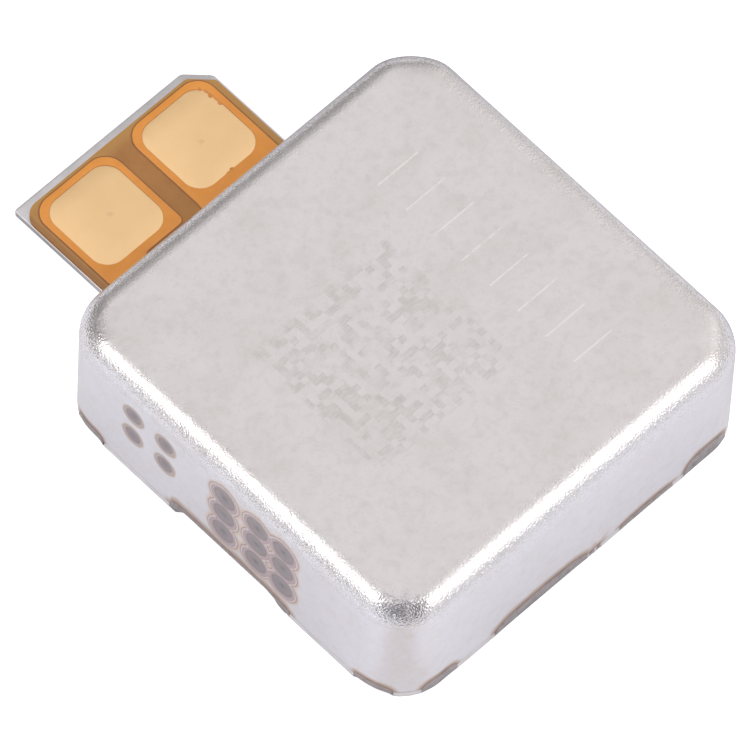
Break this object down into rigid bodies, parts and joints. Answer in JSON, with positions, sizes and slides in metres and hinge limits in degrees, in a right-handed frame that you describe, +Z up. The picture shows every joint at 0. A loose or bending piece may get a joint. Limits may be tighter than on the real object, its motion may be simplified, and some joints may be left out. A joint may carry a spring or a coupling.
{
  "type": "square linear vibration motor",
  "caption": "Flat square linear vibration motor: a pressed steel can on a base plate, with a sprung magnetic weight over a voice coil and a short flex tail with contact pads.",
  "frame": {"origin": "centre of the can's square footprint, on the underside of the base plate", "axes": "+Z up through the can's flat top, +Y along the flex tail, X along the weight's travel"},
  "size_m": [0.009, 0.0123, 0.003],
  "materials": {
    "nickel_steel": "satin",
    "spring_steel": "satin",
    "tungsten": "satin",
    "magnet_plating": "gloss",
    "gold": "satin",
    "copper": "satin",
    "enamel_wire": "gloss",
    "solder": "satin",
    "polyimide": "satin",
    "adhesive": "matte",
    "rubber": "matte",
    "foam": "matte"
  },
  "bodies": {
    "stator": {"can_housing": "nickel_steel", "base_plate": "nickel_steel", "flex_bond_film": "adhesive", "flex_base_film": "polyimide", "flex_trace_left": "copper", "flex_trace_right": "copper", "flex_coverlay": "polyimide", "contact_pad_left": "gold", "contact_pad_right": "gold", "coil_bond_film": "adhesive", "voice_coil": "enamel_wire", "coil_lead_inner": "enamel_wire", "coil_lead_outer": "enamel_wire", "solder_joint_inner": "solder", "solder_joint_outer": "solder", "leaf_spring_left": "spring_steel", "leaf_spring_right": "spring_steel", "spring_foot_plate_left": "nickel_steel", "spring_foot_plate_right": "nickel_steel", "limit_block_left": "nickel_steel", "limit_block_right": "nickel_steel", "bumper_left": "rubber", "bumper_right": "rubber", "damping_foam_left": "foam", "damping_foam_right": "foam"},
    "moving_mass": {"tungsten_weight": "tungsten", "magnet_left": "magnet_plating", "magnet_right": "magnet_plating", "yoke_plate": "nickel_steel", "spring_tab_plate_left": "nickel_steel", "spring_tab_plate_right": "nickel_steel"}
  },
  "joints": [
    {"name": "mass_slide", "type": "slide", "parent": "stator", "child": "moving_mass", "axis": [1, 0, 0], "range_m": [-0.0004, 0.0004], "stiffness_N_per_m": 340, "deforming": ["leaf_spring_left", "leaf_spring_right"]}
  ]
}
